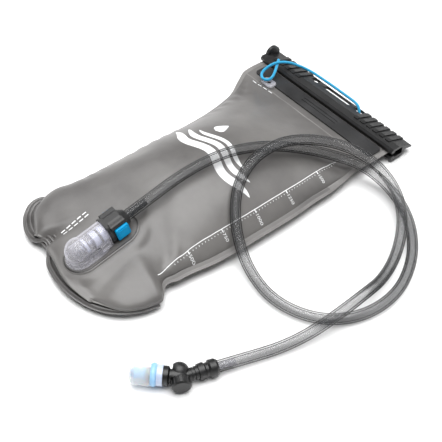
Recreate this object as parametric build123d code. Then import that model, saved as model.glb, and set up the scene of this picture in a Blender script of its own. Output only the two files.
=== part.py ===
from build123d import *
import os
from math import cos, pi, radians, sin, tan

# Hydration bladder lying filled on its back film, with its drinking hose looped beside it.
# Millimetres. +Z is up, +Y runs from the rounded bottom to the slide closer, X is across.
# The origin is on the ground under the middle of the bladder, the hose left out.

# ---- driving dimensions ----
FILM = 0.6                # wall of the welded film
SEAM_Z = 9.0              # height of the side seam above the ground
BAG_X = 8.0               # the filled bag has drawn in from the left, so it lies off centre
HALF_WIDTH = 74.0         # seam to the bag's centre line
FLANGE = 6.0              # weld flange outside the seam
BOTTOM_Y = -171.0         # outer edge of the ribbed bottom weld
RIM_WIDTH = 12.0
RIM_HALF = 84.0
RIM_TOP_Y = -114.0
CORNER_R = 56.0
BAND_START_Y = 122.0      # where the film is flat, and the stiffened band begins
CHANNEL_Y = 143.5         # front lip of the slide closer
HOSE_OD = 9.5
HOSE_ID = 6.4
GROUND_GAP = 0.1

# Stations along the filled bag: y, half width, height of the front film on the centre line.
STATIONS = [
    (-158.0, 36.0, 16.9),
    (-149.0, 54.0, 19.3),
    (-125.0, 70.0, 24.5),
    (-100.0, 74.0, 29.8),
    (-60.0, 74.0, 43.0),
    (-10.0, 74.0, 45.0),
    (30.0, 74.0, 40.5),
    (70.0, 74.0, 28.5),
    (100.0, 74.0, 16.5),
    (BAND_START_Y, 74.0, SEAM_Z + 0.9),
]

# Top band: flat stiffener with two short grooves, and the tab that holds the lanyard.
STIFFENER = 1.6
GROOVES_X = (-18.0, 28.0)
GROOVES_Y = (131.8, 135.4)
TAB_AT = (-56.0, 123.0)
LANYARD_D = 2.8

# Slide closer: section across the bag as (y, z), and what is cut in it or stands on it.
CLOSER_HALF = 92.0
CLOSER_PROFILE = [
    (CHANNEL_Y, 11.0),
    (CHANNEL_Y, 13.6),
    (145.6, 15.4),
    (153.0, 15.2),
    (169.0, 9.0),
    (171.0, 6.8),
    (170.0, 5.6),
    (160.6, 8.0),
    (159.2, 2.2),
    (148.0, 1.6),
    (CHANNEL_Y, 3.4),
    (CHANNEL_Y, 7.2),
    (147.6, 7.2),
    (147.6, 5.4),
    (157.4, 5.4),
    (157.4, 12.6),
    (147.6, 12.6),
    (147.6, 11.0),
]
END_PLATE = 3.4
RIBS = 20
RIB_PITCH = 8.2
RIB = 5.0
RIB_UP = 1.0
FIN_HOLES = [(-36.0, -27.0), (-19.0, 17.0), (23.5, 34.0)]
HOLES_Y = (160.9, 168.0)

# The port lies on the lower front film, pointing up the bag and tipped up a little.
PORT_PITCH = 12.0
PORT = Location((27.0, -150.0, 29.0), (PORT_PITCH, 0, 0))
PORT_BASE = 9.4           # port axis above the patch
HOUSING_R = 10.4
BORE_R = 7.6
MOUTH_Y = 26.0            # mouth of the port, along its axis
PATCH_LENGTH = 71.0       # welded oval patch that carries the port
PATCH_WIDTH = 34.0
PATCH_MIDDLE = 19.5
HOSE_START = 48.0         # hose end on the connector, along the port axis

# The shut-off valve and bite valve at the far end of the hose.
VALVE = Vector(161.3, -150.7, 9.0)
BITE_DIR = Vector(-0.690, -0.723, 0.030)
KNOB_DIR = Vector(0.870, -0.493, 0.0)

os.makedirs("parts", exist_ok=True)


def save(name, shape):
    export_step(shape, f"parts/{name}.step")


def port_point(x, y, z):
    place = PORT * Location((x, y, z))
    return place.position


def along(origin, direction):
    """Location whose local Y runs along direction, with local Z as near up as it can be."""
    d = direction.normalized()
    across = d.cross(Vector(0, 0, 1)).normalized()
    return Plane(origin=origin, x_dir=across, z_dir=across.cross(d)).location


def rod(radius, start, stop, x=0.0, z=0.0):
    """Cylinder along local Y from start to stop."""
    body = Cylinder(radius, stop - start, rotation=(-90, 0, 0))
    return Pos(x, (start + stop) / 2, z) * body


def ring(outer, inner, start, stop):
    return rod(outer, start, stop) - rod(inner, start - 1, stop + 1)


def block(x, y, z):
    """Box between the pairs of limits given for each axis."""
    size = Box(x[1] - x[0], y[1] - y[0], z[1] - z[0])
    return Pos((x[0] + x[1]) / 2, (y[0] + y[1]) / 2, (z[0] + z[1]) / 2) * size


def turned(profile):
    """Solid of revolution about local Y from (radius, y) points, closed along the axis."""
    points = [(0, profile[0][1])] + profile + [(0, profile[-1][1])]
    face = make_face(Polyline(points, close=True))
    return revolve(face, Axis.Y)


def coil(radius, wire, start, stop, turns):
    """Helical spring along local Y."""
    height = stop - start - wire
    path = Helix(pitch=height / turns, height=height, radius=radius)
    section = Plane(origin=path @ 0, z_dir=path % 0) * Circle(wire / 2)
    spring = sweep(section, path=path, is_frenet=True)
    return Pos(0, start + wire / 2, 0) * (Rot(-90, 0, 0) * spring)


def routed(points, shortest):
    """Straight runs joined by arcs, each as large as its two runs allow."""
    radii = []
    for before, here, after in zip(points, points[1:], points[2:]):
        first = Vector(here) - Vector(before)
        second = Vector(after) - Vector(here)
        turn = radians(first.get_angle(second))
        radii.append(0.45 * min(first.length, second.length) / tan(turn / 2))
    print("radii", [round(r, 1) for r in radii], "shortest allowed", shortest)
    return FilletPolyline(*points, radius=radii)


# ---- bag ----
def dome(inset, low):
    """Front half of the filled bag above the seam, its walls set in by inset."""
    sections = []
    for y, half, top in STATIONS:
        w = half - inset
        rise = top - inset - SEAM_Z
        y = min(max(y, STATIONS[0][0] + inset), STATIONS[-1][0] - inset)
        corners = [(-w, y, SEAM_Z), (-w, y, low), (w, y, low), (w, y, SEAM_Z)]
        base = Polyline(*(corners if low < SEAM_Z else corners[::3]))
        crown = Spline(
            (w, y, SEAM_Z),
            (0.62 * w, y, SEAM_Z + 0.72 * rise),
            (0, y, SEAM_Z + rise),
            (-0.62 * w, y, SEAM_Z + 0.72 * rise),
            (-w, y, SEAM_Z),
        )
        sections.append(make_face(Wire([*base.edges(), *crown.edges()])))
    return Pos(BAG_X, 0, 0) * loft(sections, ruled=True)


def tray(inset):
    """Back half of the bag below the seam: flat underneath, with sloping sides."""
    sections = []
    foot = 14.0
    for y, half, _ in STATIONS:
        w = half - inset
        y = min(max(y, STATIONS[0][0] + inset), STATIONS[-1][0] - inset)
        corners = [
            (-w, y, SEAM_Z),
            (-w + foot, y, inset),
            (w - foot, y, inset),
            (w, y, SEAM_Z),
        ]
        sections.append(make_face(Polyline(*corners, close=True)))
    return Pos(BAG_X, 0, 0) * loft(sections, ruled=True)


def rounded(inset):
    """Flat outline of the bag's bottom, set in from the outer edge of the weld."""
    low = BOTTOM_Y + inset
    size = Rectangle(2 * (RIM_HALF - inset), BAND_START_Y - low)
    sheet = Pos(BAG_X, (low + BAND_START_Y) / 2) * size
    return fillet(sheet.vertices().group_by(Axis.Y)[0], CORNER_R - inset)


def outline():
    """Flat outline of the film: inside the ribbed weld, and a plain flange above it."""
    high = BAND_START_Y
    size = Rectangle(2 * (HALF_WIDTH + FLANGE), high - RIM_TOP_Y)
    flange = Pos(BAG_X, (high + RIM_TOP_Y) / 2) * size
    return flange + rounded(RIM_WIDTH)


def front_film():
    flange = Pos(0, 0, SEAM_Z) * extrude(outline(), FILM)
    port_hole = PORT * (Pos(0, 0, -PORT_BASE) * Cylinder(6.0, 20))
    return flange + dome(0, SEAM_Z) - dome(FILM, SEAM_Z - 1) - port_hole


def back_film():
    flange = Pos(0, 0, SEAM_Z - FILM) * extrude(outline(), FILM)
    inside = extrude(section(tray(FILM), Plane.XY.offset(SEAM_Z - 0.01)), 1)
    return flange + tray(0) - tray(FILM) - inside


def bottom_weld_rim():
    """Thick ribbed weld round the bottom, with three raised ridges."""
    keep = block((-120, 120), (-200, RIM_TOP_Y - 0.3), (-1, 40))
    rim = Pos(0, 0, SEAM_Z - 1.0) * extrude(rounded(0) - rounded(RIM_WIDTH - 0.3), 2.0)
    for inset in (2.0, 5.5, 9.0):
        ridge = rounded(inset) - rounded(inset + 1.4)
        rim += Pos(0, 0, SEAM_Z + 1.0) * extrude(ridge, 0.7)
    return rim & keep


def inner_baffle():
    """Strip welded inside between the two films, which keeps the filled bag flat."""
    return block((BAG_X - 0.4, BAG_X + 0.4), (-60, 20), (FILM + 0.1, 37.5))


# ---- top band ----
def film_band(z):
    return block((-88.3, 88), (BAND_START_Y + 0.1, 150.0), (z, z + FILM))


def stiffener(z):
    bar = block((-80, 81), (126.0, 141.5), (z, z + STIFFENER))
    bar = fillet(bar.edges().filter_by(Axis.Z), 3.0)
    for y in GROOVES_Y:
        bar -= block(GROOVES_X, (y, y + 1.4), (z + STIFFENER - 0.5, z + STIFFENER + 1.0))
    return bar


def closure_bead():
    """Round bead in the folded end of the film, which the channel grips."""
    return Pos(0, 153.0, SEAM_Z) * Cylinder(2.9, 176, rotation=(0, 90, 0))


def cord_tab():
    """Clear tab on the band with a hole for the lanyard."""
    x, y = TAB_AT
    plate = block((x - 7.5, x + 7.5), (y - 5.0, y + 5.0), (12.6, 14.2))
    plate = fillet(plate.edges().filter_by(Axis.Z), 3.5)
    return plate - Pos(x, y, 13.4) * Cylinder(2.6, 4)


# ---- slide closer ----
def slope_z(y):
    """Height of the closer's sloping upper face behind its flat strip."""
    return 15.2 - (y - 153.0) * 6.2 / 16.0


def slide_closer():
    """Channel that slides along the folded film, with a ribbed grip, slots and an end plate."""
    corners = [(-CLOSER_HALF, y, z) for y, z in CLOSER_PROFILE]
    section_face = make_face(Polyline(*corners, close=True))
    body = extrude(section_face, 2 * CLOSER_HALF, dir=(1, 0, 0))
    for x0, x1 in FIN_HOLES:
        hole = block((x0, x1), HOLES_Y, (0, 20))
        body -= fillet(hole.edges().filter_by(Axis.Z), 2.0)
    for i in range(RIBS):
        x = -CLOSER_HALF + 13 + i * RIB_PITCH
        if all(x + RIB < x0 - 1 or x > x1 + 1 for x0, x1 in FIN_HOLES):
            corners = [(149.0, 14.6), (149.6, 15.3 + RIB_UP), (153.4, 15.05 + RIB_UP)]
            corners += [(169.6, slope_z(169.6) + RIB_UP), (170.6, 6.8), (167.0, 7.6)]
            side = make_face(Polyline(*[(x, y, z) for y, z in corners], close=True))
            rib = extrude(side, RIB, dir=(1, 0, 0))
            body += rib
    disc = Cylinder(8.2, END_PLATE, rotation=(0, 90, 0))
    plate = Pos(-CLOSER_HALF + END_PLATE / 2, 158.0, 13.4) * disc
    plate &= block((-120, 0), (120, 171), (1.2, 40))
    return body + plate


def lanyard_stop_knot():
    return Pos(30.0, 164.2, 0.0) * (Pos(0, 0, 3.2) * Sphere(2.2))


# ---- port ----
def port_patch():
    oval = SlotOverall(PATCH_LENGTH, PATCH_WIDTH, rotation=90)
    plate = Pos(0, PATCH_MIDDLE, -PORT_BASE) * extrude(oval, 0.8)
    return PORT * (plate - Pos(0, 0, -PORT_BASE) * Cylinder(6.0, 6))


def port_housing():
    shell = Sphere(11.6) + rod(HOUSING_R, 0, MOUTH_Y)
    floor = 1.0 - PORT_BASE
    shell += block((-9.4, 9.4), (0, MOUTH_Y), (floor, 0))
    shell += Pos(0, 0, floor) * extrude(Circle(11.0), 8.0)
    foot = Pos(0, 7.0, floor) * extrude(SlotOverall(40, 25, rotation=90), 1.2)
    lug = block((8.5, 13.0), (14.5, 23.5), (-5.0, 1.5))
    shell += foot + fillet(lug.edges().filter_by(Axis.Y), 1.2)
    shell &= block((-30, 30), (-30, MOUTH_Y), (floor, 30))
    shell -= rod(BORE_R, -5.0, 11.2) + rod(BORE_R, 12.7, MOUTH_Y + 1) + rod(4.6, 0, 20)
    shell -= Pos(0, 0, -PORT_BASE) * Cylinder(5.4, 12)
    return PORT * shell


def check_valve_poppet():
    disc = rod(6.2, 5.6, 8.0) + rod(1.5, 8.0, 13.8) + rod(2.4, 3.0, 5.6)
    return PORT * disc


def poppet_seal():
    return PORT * ring(6.2, 1.6, 8.0, 8.8)


def poppet_spring():
    return PORT * coil(4.0, 0.8, -4.8, 5.5, 4)


# ---- connector ----
def connector_core():
    """Nose that plugs into the port, and the water tube through the body."""
    tube = rod(6.8, 14.0, 26.4) + rod(4.7, 26.4, 46.0)
    groove = ring(9.0, 5.8, 18.8, 21.2)
    return PORT * (tube - groove - rod(3.0, 13.0, 47.0))


def connector_o_ring():
    return PORT * (Pos(0, 20.0, 0) * (Rot(90, 0, 0) * Torus(6.7, 0.85)))


def connector_body():
    profile = [(11.6, 26.5), (11.6, 29.0), (10.6, 30.0), (10.6, 42.0), (8.2, 45.0), (6.3, 48.0)]
    shell = turned(profile)
    shell &= block((-20, 20), (20, 60), (-8.2, 10.2))
    case = block((-10.6, 9.8), (29.4, 43.0), (-8.2, 9.4))
    shell += fillet(case.edges().filter_by(Axis.Y), 2.6)
    shell -= rod(4.7, 20, 46.0) + rod(3.0, 40, 50)
    shell -= block((5.9, 20), (30.6, 43.6), (-6.3, 6.3))
    for z in (-6.3, 4.9):
        shell -= block((-20, 6), (30.6, 43.6), (z, z + 1.4))
    return PORT * shell


def release_button():
    """Blue push bar that crosses the body, with a leg either side of the water tube."""
    pad = block((8.4, 11.8), (31.0, 43.2), (-6.0, 6.0))
    pad = fillet(pad.edges().filter_by(Axis.X), 1.5)
    pad += block((11.0, 12.4), (32.5, 41.7), (-4.5, 4.5))
    for z in (-6.0, 5.1):
        pad += block((-11.2, 9.0), (33.0, 41.0), (z, z + 0.9))
    end = block((-12.0, -10.9), (34.5, 39.5), (-6.0, 6.0))
    return PORT * (pad + end)


def button_spring():
    spring = Rot(0, 0, -90) * coil(1.8, 0.5, 5.95, 8.35, 2)
    return PORT * (Pos(0, 37.1, 0) * spring)


def barbed(start, stop, bore):
    """Hose barb along local Y: a tube with cone-shaped ridges."""
    tube = rod(2.8, start, stop)
    for i in range(4):
        y = start + 3.0 + i * (stop - start - 4.5) / 4
        tube += turned([(3.12, y), (2.8, y + 3.0)])
    return tube - rod(bore, start - 1, stop + 1)


def connector_barb():
    return PORT * barbed(HOSE_START + 0.1, HOSE_START + 20.0, 2.0)


# ---- hose ----
FLOOR = HOSE_OD / 2 + GROUND_GAP
START = port_point(0, HOSE_START, 0)
LEAD = port_point(0, HOSE_START + 24.0, 0)

HOSE_POINTS = [
    (START.X, START.Y, START.Z),
    (LEAD.X, LEAD.Y, LEAD.Z),
    (26.0, -50.0, 49.2),
    (26.5, -22.0, 51.2),
    (29.0, 4.0, 50.2),
    (34.0, 29.0, 45.0),
    (42.0, 54.0, 36.8),
    (54.0, 76.0, 28.5),
    (69.0, 94.0, 21.5),
    (88.5, 107.5, 17.0),
    (112.0, 114.0, 9.0),
    (138.5, 109.5, FLOOR),
    (166.0, 93.0, FLOOR),
    (190.0, 67.0, FLOOR),
    (206.0, 32.0, FLOOR),
    (204.0, -6.0, FLOOR),
    (184.0, -35.0, FLOOR),
    (150.0, -49.0, FLOOR),
    (115.5, -45.5, 7.0),
    (90.0, -37.5, 19.5),
    (69.0, -24.0, 32.0),
    (54.0, -6.0, 42.0),
    (46.5, 17.0, 48.5),
    (47.0, 42.0, 50.5),
    (51.5, 64.0, 46.0),
    (58.5, 83.0, 39.0),
    (71.5, 98.5, 33.5),
    (89.0, 108.5, 28.5),
    (109.0, 111.5, 23.0),
    (130.0, 107.5, 18.0),
    (149.0, 96.5, 13.5),
    (164.5, 80.5, 8.0),
    (178.5, 58.0, FLOOR),
    (189.5, 31.0, 9.0),
    (195.0, 6.0, 17.5),
    (196.5, -22.0, 17.5),
    (192.5, -48.0, 9.0),
    (186.0, -74.0, FLOOR),
    (177.5, -100.0, 5.6),
    (170.3, -122.8, 7.0),
]


def hose():
    path = routed(HOSE_POINTS, 5 * HOSE_OD)
    place = Plane(origin=path @ 0, z_dir=path % 0)
    bore = sweep(place * Circle(HOSE_ID / 2), path=path)
    wall = sweep(place * Circle(HOSE_OD / 2), path=path)
    tube = wall - bore
    area = pi / 4 * (HOSE_OD**2 - HOSE_ID**2)
    ratio = tube.volume / area / path.length
    print("hose length", round(path.length, 1), "volume ratio", round(ratio, 4))
    return tube


# ---- swivel coupler, shut-off and bite valve ----
HOSE_END = Vector(*HOSE_POINTS[-1])
HOSE_DIR = HOSE_END - Vector(*HOSE_POINTS[-2])
COUPLER = along(HOSE_END, HOSE_DIR)
BITE = along(VALVE, BITE_DIR)
KNOB = along(VALVE, KNOB_DIR)
NECK_END = 23.0           # where the neck meets the valve, along the hose axis


def hose_coupler():
    profile = [(5.6, 0.1), (6.9, 2.0), (7.0, 6.6), (5.5, 8.0), (5.5, 10.0), (6.6, 11.2), (6.2, 15.5)]
    collar = turned(profile)
    for side in (-1, 1):
        collar -= block((side * 7.2 - 1.3, side * 7.2 + 1.3), (7.5, 14.0), (-2.2, 2.2))
    return COUPLER * (collar - rod(2.0, -1, 17) - rod(3.6, 9.0, 17))


def coupler_barb():
    return COUPLER * (Rot(0, 0, 180) * barbed(0.0, 14.0, 2.0))


def swivel_neck():
    tube = rod(3.55, 9.2, 16.0) + rod(5.2, 15.7, 18.2) + rod(4.3, 18.0, NECK_END)
    tube += rod(5.0, 19.4, 20.8)
    return COUPLER * (tube - rod(2.0, 8, NECK_END + 1) - ring(5.0, 2.8, 11.6, 13.4))


def swivel_o_ring():
    return COUPLER * (Pos(0, 12.5, 0) * (Rot(90, 0, 0) * Torus(3.2, 0.38)))


def valve_body():
    """Rounded shell with a cross bore for the shut-off spindle."""
    lobe = KNOB * (Pos(0, -4.4, 0) * Sphere(7.6))
    hub = KNOB * rod(5.9, -4.0, 2.4)
    inlet = COUPLER * rod(4.3, NECK_END + 0.1, 30.0)
    outlet = BITE * rod(6.0, 0, 6.0)
    body = lobe + hub + inlet + outlet
    body -= COUPLER * (rod(5.3, 10.0, 21.2) + rod(4.4, 10.0, NECK_END + 0.1))
    body -= BITE * rod(12.0, 6.05, 30.0)
    body -= KNOB * rod(3.1, -6.0, 8.0)
    body -= KNOB * rod(9.0, 2.4, 12.0)
    body -= COUPLER * rod(2.0, NECK_END - 1, 28.0)
    return body - BITE * rod(2.0, 0, 8.0)


def shutoff_knob():
    """Round grip on a spindle with a cross hole, a quarter turn from open to shut."""
    grip = turned([(6.6, 2.7), (7.6, 3.7), (7.6, 8.6), (6.4, 9.8)])
    for i in range(14):
        angle = radians(i * 360 / 14)
        grip -= rod(0.55, 2.0, 11.0, 7.75 * cos(angle), 7.75 * sin(angle))
    spindle = rod(3.05, -5.8, 2.7) - ring(4.0, 2.4, 0.4, 1.8)
    water = Pos(0, -2.6, 0) * Cylinder(1.9, 10, rotation=(0, 90, 0))
    return KNOB * (grip + spindle - water)


def knob_o_ring():
    return KNOB * (Pos(0, 1.1, 0) * (Rot(90, 0, 0) * Torus(2.72, 0.31)))


def bite_barrel():
    profile = [(5.4, 6.1), (5.4, 7.6), (7.4, 8.8), (7.4, 12.5), (5.4, 12.5), (5.4, 24.0), (4.6, 25.0)]
    barrel = turned(profile)
    return BITE * (barrel - rod(3.0, 5, 26)) - KNOB * rod(8.1, 2.0, 11.5)


def retaining_ring():
    return BITE * ring(8.1, 5.45, 12.6, 17.0)


def grip_ring():
    profile = [(7.6, 17.1), (8.9, 18.4), (8.9, 20.2), (8.2, 21.4)]
    return BITE * (turned(profile) - rod(5.45, 16, 23))


def bite_sleeve():
    """Soft silicone mouthpiece, open at the tip for the slit core."""
    profile = [(8.3, 21.5), (8.8, 23.0), (8.5, 29.0), (8.9, 33.0), (8.2, 35.5), (5.5, 37.0)]
    cavity = rod(5.45, 20, 25.3) + rod(6.6, 25.2, 34.6)
    return BITE * (turned(profile) - cavity - mouth(0.05, 34.0))


def mouth(clearance, start):
    """Oval neck of the blue core where it shows at the tip of the mouthpiece."""
    oval = Ellipse(4.4 + clearance, 2.3 + clearance)
    return Pos(0, start, 0) * (Rot(-90, 0, 0) * (Rot(0, 0, 90) * extrude(oval, 4.0)))


def bite_core():
    """Blue inner core seen through the silicone, hollow for the water."""
    profile = [(4.4, 25.4), (5.2, 27.0), (3.4, 29.5), (3.6, 31.5), (4.6, 34.0)]
    tip = mouth(0.0, 33.0) & rod(6.0, 33.0, 36.9)
    slit = block((-0.25, 0.25), (33.5, 38), (-3.2, 3.2))
    return BITE * (turned(profile) + tip - rod(2.0, 24, 34.5) - slit)


# ---- lanyard ----
LANYARD_POINTS = [
    (-68.0, 146.0, 23.5),
    (-60.5, 136.0, 20.6),
    (-55.5, 127.5, 17.8),
    (-56.5, 121.5, 16.4),
    (-62.5, 119.5, 16.4),
    (-68.5, 124.0, 17.4),
    (-69.0, 132.0, 20.4),
    (-65.0, 140.0, 24.6),
    (-60.0, 150.0, 23.5),
    (-53.0, 160.0, 18.6),
    (-43.0, 166.5, 14.8),
    (-30.0, 169.2, 12.6),
    (-13.0, 170.6, 11.4),
    (4.0, 170.4, 11.3),
    (18.0, 169.6, 11.9),
    (27.0, 166.4, 12.6),
    (30.0, 164.2, 6.0),
]


def lanyard():
    path = routed(LANYARD_POINTS, LANYARD_D)
    place = Plane(origin=path @ 0, z_dir=path % 0)
    cord = sweep(place * Circle(LANYARD_D / 2), path=path)
    area = pi / 4 * LANYARD_D**2
    print("lanyard length", round(path.length, 1), "ratio", round(cord.volume / area / path.length, 4))
    return cord


save("front_film", front_film())
save("back_film", back_film())
save("bottom_weld_rim", bottom_weld_rim())
save("inner_baffle", inner_baffle())
save("front_band", film_band(SEAM_Z))
save("back_band", film_band(SEAM_Z - FILM))
save("front_stiffener", stiffener(SEAM_Z + FILM + 0.1))
save("back_stiffener", Pos(0, 0, SEAM_Z) * mirror(stiffener(FILM + 0.1), Plane.XY))
save("closure_bead", closure_bead())
save("cord_tab", cord_tab())
save("slide_closer", slide_closer())
save("lanyard_stop_knot", lanyard_stop_knot())
save("port_patch", port_patch())
save("port_housing", port_housing())
save("check_valve_poppet", check_valve_poppet())
save("poppet_seal", poppet_seal())
save("poppet_spring", poppet_spring())
save("connector_core", connector_core())
save("connector_o_ring", connector_o_ring())
save("connector_body", connector_body())
save("release_button", release_button())
save("button_spring", button_spring())
save("connector_barb", connector_barb())
save("hose", hose())
save("hose_coupler", hose_coupler())
save("coupler_barb", coupler_barb())
save("swivel_neck", swivel_neck())
save("swivel_o_ring", swivel_o_ring())
save("valve_body", valve_body())
save("shutoff_knob", shutoff_knob())
save("knob_o_ring", knob_o_ring())
save("bite_barrel", bite_barrel())
save("retaining_ring", retaining_ring())
save("grip_ring", grip_ring())
save("bite_sleeve", bite_sleeve())
save("bite_core", bite_core())
save("lanyard", lanyard())
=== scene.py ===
# %% [markdown]
# # A hydration bladder with its drinking hose
# The real thing is a flat pillow of welded polyurethane film, filled with water and lying on its back. A
# slide closer shuts the top, a port low on the front takes a quick connector, and a metre of clear hose
# ends in a bite valve. The hard parts come from a CAD model; this lesson makes the soft parts around it.

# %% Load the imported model
import math
import bpy
import numpy as np
from mathutils import Matrix, Vector, noise


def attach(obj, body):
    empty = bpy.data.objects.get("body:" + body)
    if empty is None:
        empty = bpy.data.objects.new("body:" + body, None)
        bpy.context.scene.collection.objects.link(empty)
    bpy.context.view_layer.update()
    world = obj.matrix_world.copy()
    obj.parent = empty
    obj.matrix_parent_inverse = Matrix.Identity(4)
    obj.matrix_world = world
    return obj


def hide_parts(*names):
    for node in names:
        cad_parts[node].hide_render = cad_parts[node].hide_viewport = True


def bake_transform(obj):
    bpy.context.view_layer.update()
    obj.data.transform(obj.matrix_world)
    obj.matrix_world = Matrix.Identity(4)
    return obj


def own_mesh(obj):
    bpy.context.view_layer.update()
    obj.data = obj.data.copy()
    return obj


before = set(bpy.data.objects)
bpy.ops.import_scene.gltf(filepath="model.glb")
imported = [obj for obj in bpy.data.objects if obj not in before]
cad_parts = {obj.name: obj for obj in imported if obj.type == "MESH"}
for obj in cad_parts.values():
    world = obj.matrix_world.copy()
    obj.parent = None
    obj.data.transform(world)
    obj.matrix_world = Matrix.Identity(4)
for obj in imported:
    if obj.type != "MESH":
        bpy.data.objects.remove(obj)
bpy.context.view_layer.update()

# %% [markdown]
# ## Units and small helpers
# All lengths in this lesson are typed in millimetres and turned to metres once, where a mesh is written.
# A sheet helper adds one grid primitive and then places every one of its points with a function of two
# numbers that run from -1 to 1 across and along, which suits film, welds, tubes and printed marks alike.

# %% Helpers for making pieces
MM = 0.001


def deselect():
    """Nothing selected, so that the next operator touches only its own piece."""
    if bpy.context.object and bpy.context.object.mode != "OBJECT":
        bpy.ops.object.mode_set(mode="OBJECT")
    bpy.ops.object.select_all(action="DESELECT")


def points_of(piece):
    """Corner points of a mesh as an array in millimetres."""
    flat = np.empty(len(piece.data.vertices) * 3)
    piece.data.vertices.foreach_get("co", flat)
    return flat.reshape(-1, 3) / MM


def put_points(piece, points):
    """Write an array of points in millimetres into a mesh."""
    piece.data.vertices.foreach_set("co", (np.asarray(points) * MM).ravel())
    piece.data.update()


def sheet_of(name, across, along, place):
    """Grid of across x along faces, each point set by place(s, t) in millimetres."""
    deselect()
    bpy.ops.mesh.primitive_grid_add(x_subdivisions=across, y_subdivisions=along, size=2 / MM)
    piece = bpy.context.object
    piece.name = name
    piece.data.name = name
    piece.data.transform(Matrix.Scale(MM, 4))
    flat = points_of(piece)
    put_points(piece, np.stack(place(flat[:, 0] * MM, flat[:, 1] * MM), axis=1))
    return piece


def apply(piece, kind, **settings):
    """Add one modifier, set it and apply it."""
    deselect()
    piece.select_set(True)
    bpy.context.view_layer.objects.active = piece
    modifier = piece.modifiers.new(kind.title(), kind)
    for setting, value in settings.items():
        setattr(modifier, setting, value)
    bpy.ops.object.modifier_apply(modifier=modifier.name)


def smooth(piece, degrees=40):
    """Smooth shading that keeps edges sharper than the angle."""
    deselect()
    piece.select_set(True)
    bpy.context.view_layer.objects.active = piece
    bpy.ops.object.shade_smooth_by_angle(angle=math.radians(degrees))


def face_out(piece):
    """Merge doubled points and turn all faces outwards."""
    deselect()
    piece.select_set(True)
    bpy.context.view_layer.objects.active = piece
    bpy.ops.object.mode_set(mode="EDIT")
    bpy.ops.mesh.select_all(action="SELECT")
    bpy.ops.mesh.remove_doubles(threshold=0.00002)
    bpy.ops.mesh.normals_make_consistent(inside=False)
    bpy.ops.object.mode_set(mode="OBJECT")


def report(piece):
    """Print how many faces a piece has and the box it fills."""
    low = points_of(piece).min(axis=0)
    high = points_of(piece).max(axis=0)
    print(piece.name, len(piece.data.polygons), "faces", low.round(1), high.round(1), "mm")


# %% [markdown]
# ## Camera
# A long lens from the right of the bag's foot, looking down at 47 degrees. It comes first, with the hose,
# because the way the hose lies is judged against what the camera sees.

# %% Camera
FOCAL = 73.3
SENSOR = 36.0
camera_data = bpy.data.cameras.new("camera")
camera_data.sensor_width = SENSOR
camera_data.lens = FOCAL
camera = bpy.data.objects.new("camera", camera_data)
bpy.context.scene.collection.objects.link(camera)
eye = Vector((0.46759, -0.35854, 0.568))
forward = Vector((-0.53399, 0.42934, -0.72837)).normalized()
up = Vector((-0.5677, 0.4564, 0.6852)).normalized()
right = forward.cross(up).normalized()
up = right.cross(forward)
turn = Matrix((right, up, -forward)).transposed()
camera.matrix_world = Matrix.Translation(eye) @ turn.to_4x4()
bpy.context.scene.camera = camera
bpy.context.scene.view_settings.view_transform = "Standard"
print("camera", camera.location, "lens", FOCAL)

# %% [markdown]
# ## The cords' lines
# The hose leaves the connector up the bag, turns down over its edge to the ground, comes round on itself,
# climbs over the bag and its own first turn, and ends at the bite valve. Its line is one smooth NURBS
# curve through the air and over the ground, with more control points where it bends more.
# The lanyard is limp cord: from the clear tab it loops up over the closer's lip and runs along its back.

# %% Lines of the hose and the lanyard
REST = 0.00485          # height of the hose's middle where it lies on the ground
HOSE_LINE = [
    (0.027, -0.10305, 0.03898),
    (0.027, -0.07957, 0.04397),
    (0.026, -0.050, 0.0492),
    (0.0265, -0.022, 0.0512),
    (0.029, 0.004, 0.0502),
    (0.034, 0.029, 0.045),
    (0.042, 0.054, 0.0368),
    (0.054, 0.076, 0.0285),
    (0.069, 0.094, 0.0215),
    (0.0885, 0.1075, 0.017),
    (0.112, 0.114, 0.009),
    (0.1385, 0.1095, REST),
    (0.166, 0.093, REST),
    (0.190, 0.067, REST),
    (0.206, 0.032, REST),
    (0.204, -0.006, REST),
    (0.184, -0.035, REST),
    (0.150, -0.049, REST),
    (0.1155, -0.0455, 0.007),
    (0.090, -0.0375, 0.0195),
    (0.069, -0.024, 0.032),
    (0.054, -0.006, 0.042),
    (0.0465, 0.017, 0.0485),
    (0.047, 0.042, 0.0505),
    (0.0515, 0.064, 0.046),
    (0.0585, 0.083, 0.039),
    (0.0715, 0.0985, 0.0335),
    (0.089, 0.1085, 0.0285),
    (0.109, 0.1115, 0.023),
    (0.130, 0.1075, 0.018),
    (0.149, 0.0965, 0.0135),
    (0.1645, 0.0805, 0.008),
    (0.1785, 0.058, REST),
    (0.1895, 0.031, 0.009),
    (0.195, 0.006, 0.0175),
    (0.1965, -0.022, 0.0175),
    (0.1925, -0.048, 0.009),
    (0.186, -0.074, REST),
    (0.1775, -0.100, 0.0056),
    (0.1703, -0.1228, 0.007),
]
LANYARD_LINE = [
    (-0.068, 0.146, 0.0235),
    (-0.0605, 0.136, 0.0206),
    (-0.0555, 0.1275, 0.0178),
    (-0.0565, 0.1215, 0.0164),
    (-0.0625, 0.1195, 0.0164),
    (-0.0685, 0.124, 0.0174),
    (-0.069, 0.132, 0.0204),
    (-0.065, 0.140, 0.0246),
    (-0.060, 0.150, 0.0235),
    (-0.053, 0.160, 0.0186),
    (-0.043, 0.1665, 0.0148),
    (-0.030, 0.1692, 0.0126),
    (-0.013, 0.1706, 0.0114),
    (0.004, 0.1704, 0.0113),
    (0.018, 0.1696, 0.0119),
    (0.027, 0.1664, 0.0126),
    (0.030, 0.1642, 0.006),
]


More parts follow.
